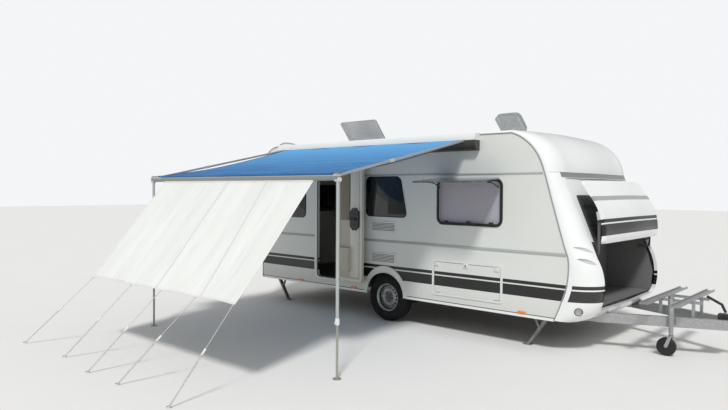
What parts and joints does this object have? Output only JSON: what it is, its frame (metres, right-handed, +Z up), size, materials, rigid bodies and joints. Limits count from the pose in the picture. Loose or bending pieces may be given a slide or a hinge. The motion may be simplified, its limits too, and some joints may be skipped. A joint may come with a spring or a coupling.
{
  "type": "travel caravan",
  "caption": "Single-axle touring caravan parked on its steadies and jockey wheel, front locker lid raised, door open, side awning out with a sun panel.",
  "frame": {"origin": "on the ground, in the middle of the box round the caravan and its awning", "axes": "+X towards the coupling, +Y to the left side away from the awning, +Z up"},
  "size_m": [6.901, 6.166, 2.8845],
  "materials": {
    "shell_white": "gloss",
    "wall_skin": "satin",
    "roof_skin": "satin",
    "floor_board": "matte",
    "cabinet_board": "satin",
    "blind_cloth": "matte",
    "window_frame": "satin",
    "acrylic_dark": "gloss",
    "acrylic_clear": "gloss",
    "trim_white": "satin",
    "door_skin": "satin",
    "black_plastic": "satin",
    "sill_metal": "satin",
    "awning_metal": "satin",
    "case_dark": "satin",
    "canopy_cloth": "satin",
    "panel_cloth": "matte",
    "guy_cord": "matte",
    "galvanised": "satin",
    "axle_steel": "satin",
    "wheel_silver": "satin",
    "tyre_rubber": "matte",
    "castor_rubber": "matte",
    "coupling_metal": "satin",
    "lid_steel": "satin",
    "lamp_red": "gloss",
    "lamp_orange": "gloss",
    "carrier_metal": "satin"
  },
  "bodies": {
    "body": {"awning_arms": "awning_metal", "awning_case": "case_dark", "awning_rail": "awning_metal", "axle": "axle_steel", "blind": "blind_cloth", "cabinets": "cabinet_board", "canopy": "canopy_cloth", "chassis": "galvanised", "coupling": "coupling_metal", "cycle_carrier": "carrier_metal", "floor": "floor_board", "front_lamps": "acrylic_clear", "front_moulding": "shell_white", "front_wall": "shell_white", "gas_locker": "trim_white", "guy_lines": "guy_cord", "handbrake_lever": "coupling_metal", "jockey_tube": "galvanised", "main_window_frame": "window_frame", "main_window_pane": "acrylic_clear", "rear_bumper": "shell_white", "rear_wall": "shell_white", "roof": "roof_skin", "rooflight_frames": "trim_white", "side_markers": "lamp_orange", "side_trims": "trim_white", "side_wall_left": "wall_skin", "side_wall_right": "wall_skin", "sills": "sill_metal", "steady_mounts": "galvanised", "sun_panel": "panel_cloth", "tail_lamps": "lamp_red", "windows": "acrylic_dark"},
    "wheel_left": {"tyre_left": "tyre_rubber", "rim_left": "wheel_silver"},
    "wheel_right": {"tyre_right": "tyre_rubber", "rim_right": "wheel_silver"},
    "entrance_door": {"door_leaf": "door_skin", "door_window": "acrylic_dark", "door_fittings": "black_plastic"},
    "rooflight_front": {"rooflight_lid_front": "acrylic_clear"},
    "rooflight_rear": {"rooflight_lid_rear": "acrylic_clear"},
    "lid_arm_pair": {"lid_arms": "lid_steel"},
    "lid_link_pair": {"lid_links": "lid_steel"},
    "locker_lid": {"locker_lid": "shell_white"},
    "service_hatch": {"service_hatch": "wall_skin"},
    "jockey_slide": {"jockey_leg": "galvanised"},
    "jockey_castor": {"jockey_fork": "galvanised"},
    "jockey_roller": {"jockey_wheel": "castor_rubber"},
    "post_front": {"post_foot_front": "awning_metal"},
    "post_rear": {"post_foot_rear": "awning_metal"},
    "leg_front_left": {"steady_leg_front_left": "galvanised"},
    "brace_front_left": {"steady_brace_front_left": "galvanised"},
    "leg_front_right": {"steady_leg_front_right": "galvanised"},
    "brace_front_right": {"steady_brace_front_right": "galvanised"},
    "leg_rear_left": {"steady_leg_rear_left": "galvanised"},
    "brace_rear_left": {"steady_brace_rear_left": "galvanised"},
    "leg_rear_right": {"steady_leg_rear_right": "galvanised"},
    "brace_rear_right": {"steady_brace_rear_right": "galvanised"}
  },
  "joints": [
    {"name": "wheel_left_spin", "type": "hinge", "parent": "body", "child": "wheel_left", "pos_m": [-0.7675, 2.945, 0.325], "axis": [0, 1, 0], "continuous": true},
    {"name": "wheel_right_spin", "type": "hinge", "parent": "body", "child": "wheel_right", "pos_m": [-0.7675, 0.889, 0.325], "axis": [0, 1, 0], "continuous": true},
    {"name": "door_swing", "type": "hinge", "parent": "body", "child": "entrance_door", "pos_m": [-1.5785, 0.74, 1.37], "axis": [0, 0, 1], "range_deg": [-174, 0]},
    {"name": "rooflight_front_tilt", "type": "hinge", "parent": "body", "child": "rooflight_front", "pos_m": [0.5425, 1.946, 2.568], "axis": [1, 0, 0], "range_deg": [0, 40]},
    {"name": "rooflight_rear_tilt", "type": "hinge", "parent": "body", "child": "rooflight_rear", "pos_m": [-1.9475, 1.716, 2.568], "axis": [1, 0, 0], "range_deg": [0, 50]},
    {"name": "lid_swing", "type": "hinge", "parent": "body", "child": "lid_arm_pair", "pos_m": [1.9065, 1.917, 1.175], "axis": [0, 1, 0], "range_deg": [0, 137.1]},
    {"name": "lid_link_turn", "type": "hinge", "parent": "body", "child": "lid_link_pair", "pos_m": [1.9155, 1.917, 1.0895], "axis": [0, 1, 0], "range_deg": [0, 138]},
    {"name": "lid_turn", "type": "hinge", "parent": "lid_arm_pair", "child": "locker_lid", "pos_m": [2.0305, 1.917, 1.537], "axis": [0, 1, 0], "range_deg": [-126, 0]},
    {"name": "hatch_drop", "type": "hinge", "parent": "body", "child": "service_hatch", "pos_m": [0.5275, 0.758, 0.502], "axis": [1, 0, 0], "range_deg": [0, 90]},
    {"name": "jockey_height", "type": "slide", "parent": "body", "child": "jockey_slide", "axis": [0, 0, 1], "range_m": [0, 0.095]},
    {"name": "jockey_swivel", "type": "hinge", "parent": "jockey_slide", "child": "jockey_castor", "pos_m": [2.6625, 1.545, 0.223], "axis": [0, 0, 1], "continuous": true},
    {"name": "jockey_roll", "type": "hinge", "parent": "jockey_castor", "child": "jockey_roller", "pos_m": [2.6175, 1.545, 0.1], "axis": [0, 1, 0], "continuous": true},
    {"name": "post_front_height", "type": "slide", "parent": "body", "child": "post_front", "axis": [0, 0, 1], "range_m": [0, 0.4]},
    {"name": "post_rear_height", "type": "slide", "parent": "body", "child": "post_rear", "axis": [0, 0, 1], "range_m": [0, 0.4]},
    {"name": "steady_front_left_fold", "type": "hinge", "parent": "body", "child": "leg_front_left", "pos_m": [1.4925, 2.867, 0.335], "axis": [0, 1, 0], "range_deg": [0, 55.33]},
    {"name": "brace_front_left_turn", "type": "hinge", "parent": "leg_front_left", "child": "brace_front_left", "pos_m": [1.40718, 2.867, 0.21163], "axis": [0, 1, 0], "range_deg": [-112.1, 0]},
    {"name": "steady_front_right_fold", "type": "hinge", "parent": "body", "child": "leg_front_right", "pos_m": [1.4925, 0.967, 0.335], "axis": [0, 1, 0], "range_deg": [0, 55.33]},
    {"name": "brace_front_right_turn", "type": "hinge", "parent": "leg_front_right", "child": "brace_front_right", "pos_m": [1.40718, 0.967, 0.21163], "axis": [0, 1, 0], "range_deg": [-112.1, 0]},
    {"name": "steady_rear_left_fold", "type": "hinge", "parent": "body", "child": "leg_rear_left", "pos_m": [-3.2075, 2.867, 0.335], "axis": [0, 1, 0], "range_deg": [-55.33, 0]},
    {"name": "brace_rear_left_turn", "type": "hinge", "parent": "leg_rear_left", "child": "brace_rear_left", "pos_m": [-3.12218, 2.867, 0.21163], "axis": [0, 1, 0], "range_deg": [0, 112.1]},
    {"name": "steady_rear_right_fold", "type": "hinge", "parent": "body", "child": "leg_rear_right", "pos_m": [-3.2075, 0.967, 0.335], "axis": [0, 1, 0], "range_deg": [-55.33, 0]},
    {"name": "brace_rear_right_turn", "type": "hinge", "parent": "leg_rear_right", "child": "brace_rear_right", "pos_m": [-3.12218, 0.967, 0.21163], "axis": [0, 1, 0], "range_deg": [0, 112.1]}
  ],
  "couplings": [
    {"joint": "lid_link_turn", "follows": "lid_swing", "ratio": 1},
    {"joint": "lid_turn", "follows": "lid_swing", "ratio": -0.9176},
    {"joint": "brace_front_left_turn", "follows": "steady_front_left_fold", "ratio": -2.021},
    {"joint": "brace_front_right_turn", "follows": "steady_front_right_fold", "ratio": -2.021},
    {"joint": "brace_rear_left_turn", "follows": "steady_rear_left_fold", "ratio": -2.021},
    {"joint": "brace_rear_right_turn", "follows": "steady_rear_right_fold", "ratio": -2.021}
  ]
}
